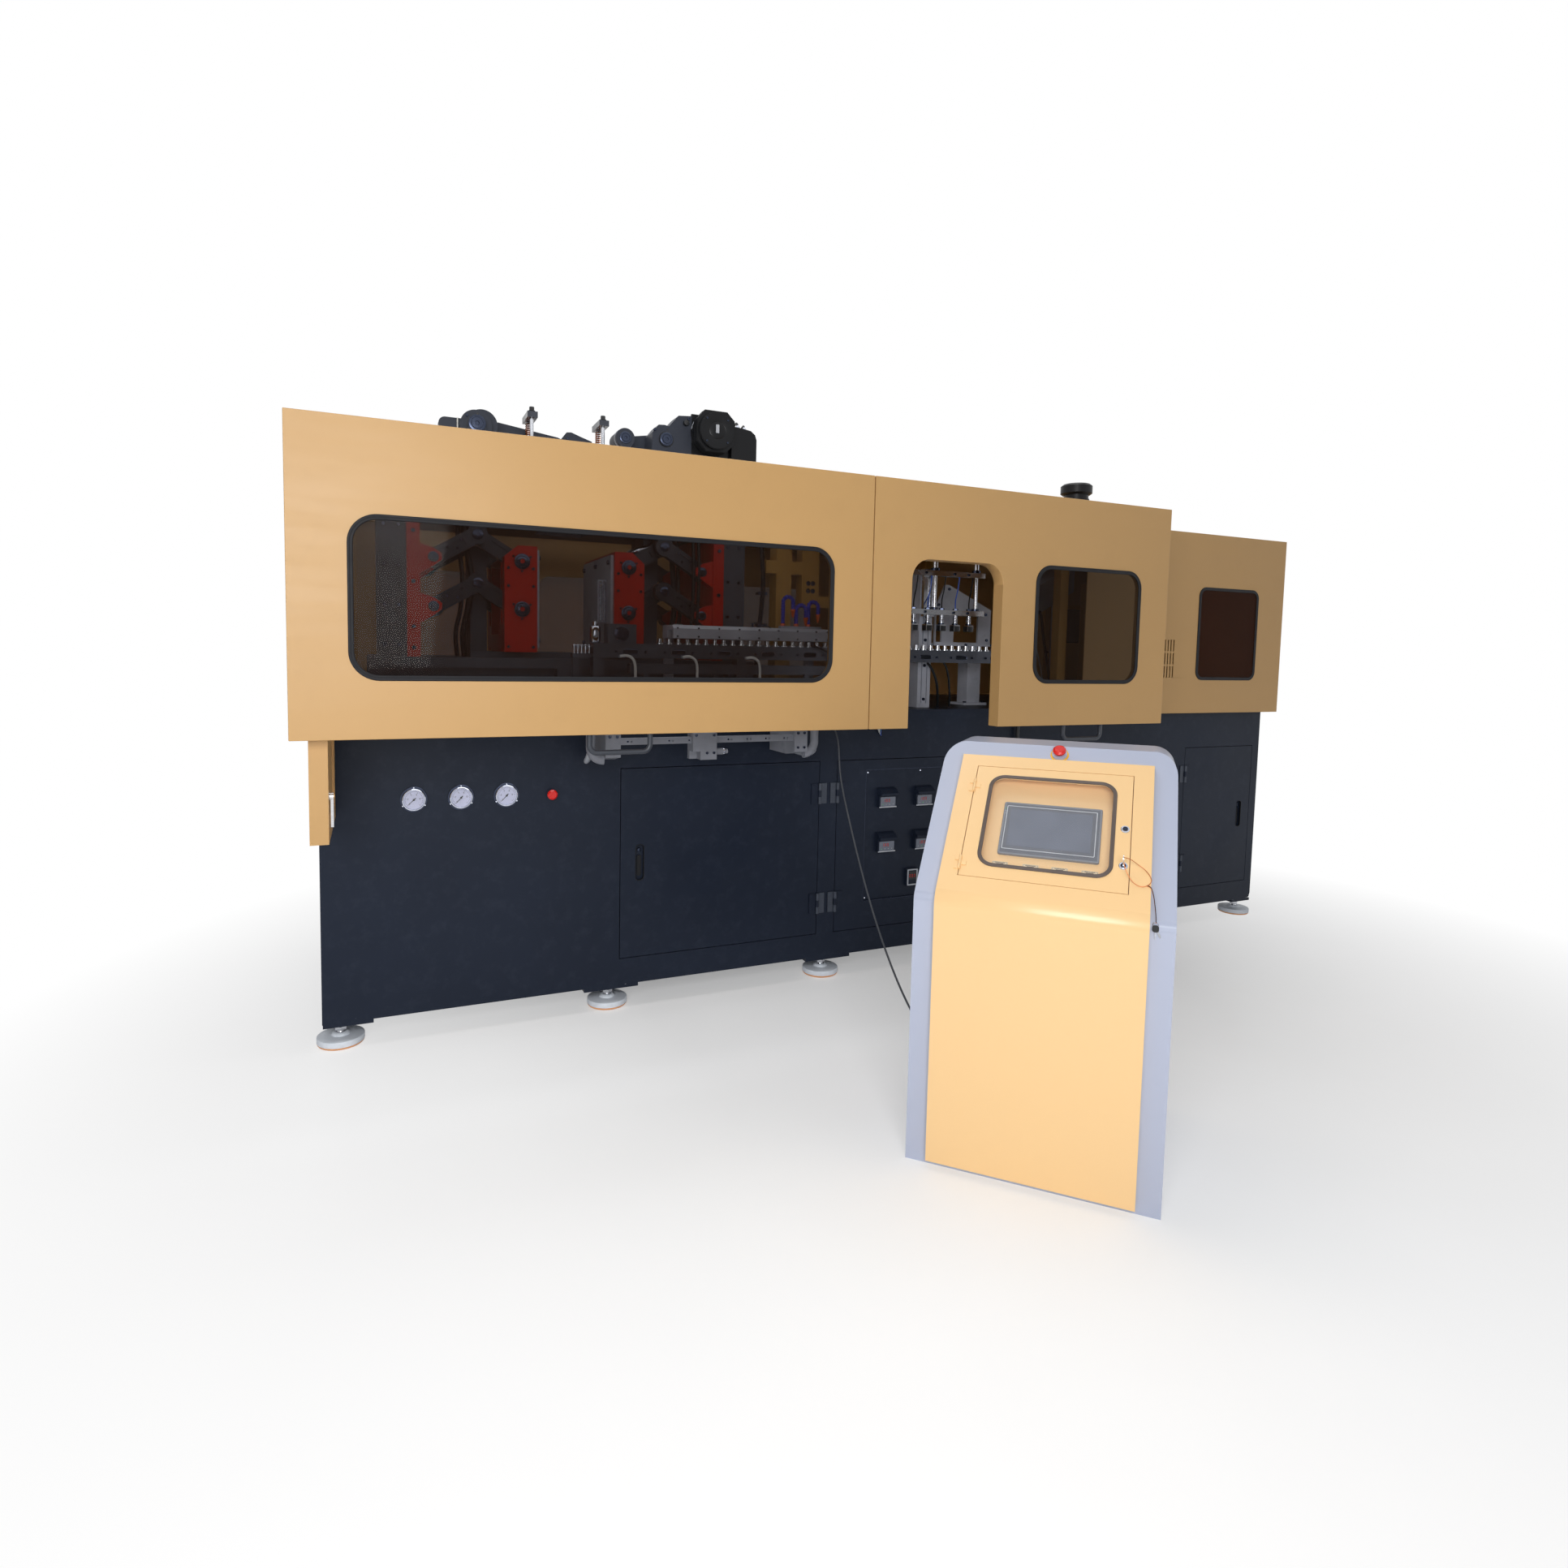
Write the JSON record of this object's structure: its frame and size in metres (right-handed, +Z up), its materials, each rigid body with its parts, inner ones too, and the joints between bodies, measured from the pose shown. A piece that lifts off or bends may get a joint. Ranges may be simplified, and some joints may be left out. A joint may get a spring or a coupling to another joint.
{
  "type": "blow moulding machine",
  "caption": "Linear stretch blow moulding machine with a cabinet base, lifting front guards, an open toggle clamp drive on its roof and a wired control console.",
  "frame": {"origin": "on the floor, at the middle of the footprint of the machine and its console together", "axes": "+X along the machine to the right, +Y from the front guards to the back, +Z up"},
  "size_m": [4.85, 3.1568, 2.5],
  "materials": {
    "cover_paint": "semi-gloss sand yellow enamel",
    "frame_paint": "semi-gloss ochre enamel",
    "base_paint": "semi-gloss dark navy enamel",
    "console_paint": "semi-gloss pale grey enamel",
    "panel_paint": "semi-gloss sand yellow enamel",
    "platen_paint": "semi-gloss red enamel",
    "machined_dark": "dark oiled machine steel",
    "casting_grey": "light grey primed casting",
    "gear_paint": "satin dark grey enamel",
    "black_steel": "satin black enamel",
    "bright_steel": "ground bright steel",
    "hinge_steel": "dark plated steel",
    "handle_steel": "polished",
    "spring_copper": "copper plated wire",
    "foot_plastic": "off-white moulded",
    "gauge_face": "white dial behind a pale rim",
    "window_tint": "brown tinted acrylic with black gasket",
    "amber_tint": "amber tinted acrylic",
    "screen_tint": "clear acrylic with black gasket",
    "screen_case": "dark grey frame with a pale panel",
    "hose_blue": "blue segmented hose with orange nozzles",
    "button_red": "glossy red",
    "button_blue": "glossy blue",
    "button_black": "glossy black",
    "cable_black": "matt black sheath",
    "cable_grey": "matt dark grey sheath"
  },
  "bodies": {
    "machine": {"base_cabinet": "base_paint", "levelling_feet": "foot_plastic", "pressure_gauges": "gauge_face", "hinge_leaves": "hinge_steel", "cover_frame": "frame_paint", "rear_covers": "cover_paint", "right_housing": "cover_paint", "fixed_windows": "amber_tint", "clamp_bed": "machined_dark", "tailstock_left": "platen_paint", "tailstock_right": "platen_paint", "clamp_top": "gear_paint", "guide_posts": "bright_steel", "guide_springs": "spring_copper", "gearbox": "gear_paint", "servo_motor": "black_steel", "oven_box": "casting_grey", "conveyor_beam": "machined_dark", "mandrels": "bright_steel", "transfer_frame": "casting_grey", "coolant_hoses": "hose_blue", "feeder_motor": "black_steel", "front_rail": "casting_grey", "console_body": "console_paint", "console_panel": "panel_paint", "operator_screen": "screen_case", "console_cable": "cable_black", "thin_cable": "cable_grey"},
    "guard_left": {"guard_left": "cover_paint", "window_left": "window_tint"},
    "guard_right": {"guard_right": "cover_paint", "window_right": "window_tint"},
    "end_door": {"end_door": "cover_paint"},
    "latch_lever": {"latch_lever": "handle_steel"},
    "base_door_1": {"base_door_1": "base_paint"},
    "base_door_2": {"base_door_2": "base_paint"},
    "base_door_3": {"base_door_3": "base_paint"},
    "link_in_upper_left": {"link_in_upper_left": "machined_dark"},
    "link_out_upper_left": {"link_out_upper_left": "machined_dark"},
    "platen_left": {"platen_left": "platen_paint"},
    "link_in_lower_left": {"link_in_lower_left": "machined_dark"},
    "link_out_lower_left": {"link_out_lower_left": "machined_dark"},
    "link_in_upper_right": {"link_in_upper_right": "machined_dark"},
    "link_out_upper_right": {"link_out_upper_right": "machined_dark"},
    "platen_right": {"platen_right": "platen_paint"},
    "link_in_lower_right": {"link_in_lower_right": "machined_dark"},
    "link_out_lower_right": {"link_out_lower_right": "machined_dark"},
    "drive_crank": {"drive_crank": "gear_paint"},
    "rocker_arm": {"rocker_arm": "gear_paint"},
    "rail_carriage": {"rail_carriage": "casting_grey"},
    "pick_head": {"pick_head": "bright_steel"},
    "screen_door": {"screen_door": "panel_paint", "screen_window": "screen_tint"},
    "lock_upper": {"lock_upper": "bright_steel"},
    "lock_lower": {"lock_lower": "bright_steel"},
    "push_red": {"push_red": "button_red"},
    "push_blue": {"push_blue": "button_blue"},
    "selector": {"selector": "button_black"},
    "console_stop_button": {"console_stop_button": "button_red"},
    "base_stop_button": {"base_stop_button": "button_red"}
  },
  "joints": [
    {"name": "guard_left_lift", "type": "hinge", "parent": "machine", "child": "guard_left", "pos_m": [-1.475, -0.2536, 2.08], "axis": [-1, 0, 0], "range_deg": [0, 80]},
    {"name": "guard_right_lift", "type": "hinge", "parent": "machine", "child": "guard_right", "pos_m": [0.275, -0.2536, 2.08], "axis": [-1, 0, 0], "range_deg": [0, 80]},
    {"name": "end_door_swing", "type": "hinge", "parent": "machine", "child": "end_door", "pos_m": [-2.3875, 0.2264, 1.5], "axis": [0, 0, -1], "range_deg": [0, 100]},
    {"name": "latch_turn", "type": "hinge", "parent": "end_door", "child": "latch_lever", "pos_m": [-2.322, -0.2056, 0.988], "axis": [1, 0, 0], "range_deg": [0, 90]},
    {"name": "base_door_1_swing", "type": "hinge", "parent": "machine", "child": "base_door_1", "pos_m": [-0.4225, 0.2389, 0.6], "axis": [0, 0, 1], "range_deg": [0, 90]},
    {"name": "base_door_2_swing", "type": "hinge", "parent": "machine", "child": "base_door_2", "pos_m": [-0.3345, 0.2389, 0.6], "axis": [0, 0, -1], "range_deg": [0, 90]},
    {"name": "base_door_3_swing", "type": "hinge", "parent": "machine", "child": "base_door_3", "pos_m": [1.7995, 0.2389, 0.6], "axis": [0, 0, -1], "range_deg": [0, 110]},
    {"name": "toggle_left", "type": "hinge", "parent": "machine", "child": "link_in_upper_left", "pos_m": [-1.989, 0.7384, 1.787], "axis": [0, 1, 0], "range_deg": [0, 29.5]},
    {"name": "knee_upper_left", "type": "hinge", "parent": "link_in_upper_left", "child": "link_out_upper_left", "pos_m": [-1.825, 0.7384, 1.885], "axis": [0, 1, 0], "range_deg": [-59, 0]},
    {"name": "platen_pin_left", "type": "hinge", "parent": "link_out_upper_left", "child": "platen_left", "pos_m": [-1.661, 0.7384, 1.787], "axis": [0, 1, 0], "range_deg": [0, 29.5]},
    {"name": "toggle_lower_left", "type": "hinge", "parent": "machine", "child": "link_in_lower_left", "pos_m": [-1.989, 0.7384, 1.599], "axis": [0, 1, 0], "range_deg": [0, 29.5]},
    {"name": "knee_lower_left", "type": "hinge", "parent": "link_in_lower_left", "child": "link_out_lower_left", "pos_m": [-1.825, 0.7384, 1.697], "axis": [0, 1, 0], "range_deg": [-59, 0]},
    {"name": "toggle_right", "type": "hinge", "parent": "machine", "child": "link_in_upper_right", "pos_m": [-0.901, 0.7384, 1.787], "axis": [0, -1, 0], "range_deg": [0, 29.5]},
    {"name": "knee_upper_right", "type": "hinge", "parent": "link_in_upper_right", "child": "link_out_upper_right", "pos_m": [-1.065, 0.7384, 1.885], "axis": [0, -1, 0], "range_deg": [-59, 0]},
    {"name": "platen_pin_right", "type": "hinge", "parent": "link_out_upper_right", "child": "platen_right", "pos_m": [-1.229, 0.7384, 1.787], "axis": [0, -1, 0], "range_deg": [0, 29.5]},
    {"name": "toggle_lower_right", "type": "hinge", "parent": "machine", "child": "link_in_lower_right", "pos_m": [-0.901, 0.7384, 1.599], "axis": [0, -1, 0], "range_deg": [0, 29.5]},
    {"name": "knee_lower_right", "type": "hinge", "parent": "link_in_lower_right", "child": "link_out_lower_right", "pos_m": [-1.065, 0.7384, 1.697], "axis": [0, -1, 0], "range_deg": [-59, 0]},
    {"name": "crank_turn", "type": "hinge", "parent": "machine", "child": "drive_crank", "pos_m": [-1.027, 0.7384, 2.363], "axis": [0, 1, 0], "range_deg": [-8, 8]},
    {"name": "rocker_turn", "type": "hinge", "parent": "machine", "child": "rocker_arm", "pos_m": [-1.818, 0.6284, 2.327], "axis": [0, 1, 0], "range_deg": [-3.2, 3.2]},
    {"name": "carriage_slide", "type": "slide", "parent": "machine", "child": "rail_carriage", "axis": [1, 0, 0], "range_m": [-0.26, 0.26]},
    {"name": "pick_lift", "type": "slide", "parent": "machine", "child": "pick_head", "axis": [0, 0, 1], "range_m": [-0.066, 0.05]},
    {"name": "screen_door_swing", "type": "hinge", "parent": "machine", "child": "screen_door", "pos_m": [-0.60521, -1.05071, 0.97936], "axis": [-0.5298, -0.4958, -0.6881], "range_deg": [0, 110]},
    {"name": "lock_upper_turn", "type": "hinge", "parent": "screen_door", "child": "lock_upper", "pos_m": [-0.30684, -1.35768, 0.98099], "axis": [-0.5024, -0.4701, 0.7256], "range_deg": [0, 90]},
    {"name": "lock_lower_turn", "type": "hinge", "parent": "screen_door", "child": "lock_lower", "pos_m": [-0.37095, -1.41768, 0.89773], "axis": [-0.5024, -0.4701, 0.7256], "range_deg": [0, 90]},
    {"name": "push_red_press", "type": "slide", "parent": "machine", "child": "push_red", "axis": [0.5024, 0.4701, -0.7256], "range_m": [0, 0.004], "stiffness_N_per_m": 600},
    {"name": "push_blue_press", "type": "slide", "parent": "machine", "child": "push_blue", "axis": [0.5024, 0.4701, -0.7256], "range_m": [0, 0.004], "stiffness_N_per_m": 600},
    {"name": "selector_turn", "type": "hinge", "parent": "machine", "child": "selector", "pos_m": [-0.48778, -1.30376, 0.85619], "axis": [-0.5024, -0.4701, 0.7256], "range_deg": [-45, 45]},
    {"name": "console_stop_press", "type": "slide", "parent": "machine", "child": "console_stop_button", "axis": [0.5024, 0.4701, -0.7256], "range_m": [0, 0.005], "stiffness_N_per_m": 1500},
    {"name": "base_stop_press", "type": "slide", "parent": "machine", "child": "base_stop_button", "axis": [0, 1, 0], "range_m": [0, 0.005], "stiffness_N_per_m": 1500}
  ],
  "couplings": [
    {"joint": "knee_upper_left", "follows": "toggle_left", "ratio": -2},
    {"joint": "platen_pin_left", "follows": "toggle_left", "ratio": 1},
    {"joint": "toggle_lower_left", "follows": "toggle_left", "ratio": 1},
    {"joint": "knee_lower_left", "follows": "toggle_left", "ratio": -2},
    {"joint": "toggle_right", "follows": "toggle_left", "ratio": 1},
    {"joint": "knee_upper_right", "follows": "toggle_left", "ratio": -2},
    {"joint": "platen_pin_right", "follows": "toggle_left", "ratio": 1},
    {"joint": "toggle_lower_right", "follows": "toggle_left", "ratio": 1},
    {"joint": "knee_lower_right", "follows": "toggle_left", "ratio": -2},
    {"joint": "rocker_turn", "follows": "crank_turn", "ratio": -0.4}
  ]
}
